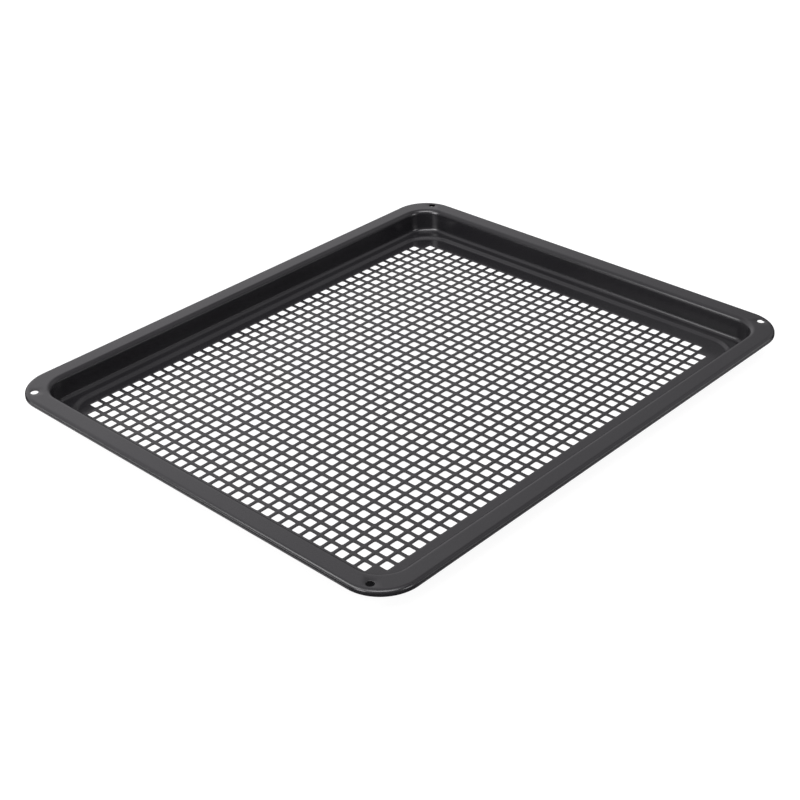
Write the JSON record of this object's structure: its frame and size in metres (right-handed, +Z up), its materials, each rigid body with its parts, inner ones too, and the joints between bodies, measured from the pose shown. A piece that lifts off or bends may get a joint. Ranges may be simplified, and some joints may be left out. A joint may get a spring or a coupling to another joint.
{
  "type": "perforated oven baking tray",
  "caption": "Shallow rectangular oven tray with a flat turned-down rim, upright walls and a floor pierced by a square grid of holes for crisping in hot air.",
  "frame": {"origin": "on the underside of the floor, below the middle of the rim", "axes": "+X along the long sides, +Y along the short sides, +Z up, with the mouth of the tray upwards"},
  "size_m": [0.466, 0.394, 0.0225],
  "materials": {
    "black_enamel": "semi-gloss fired enamel on steel"
  },
  "bodies": {
    "root": {"baking_tray": "black_enamel"}
  },
  "joints": []
}
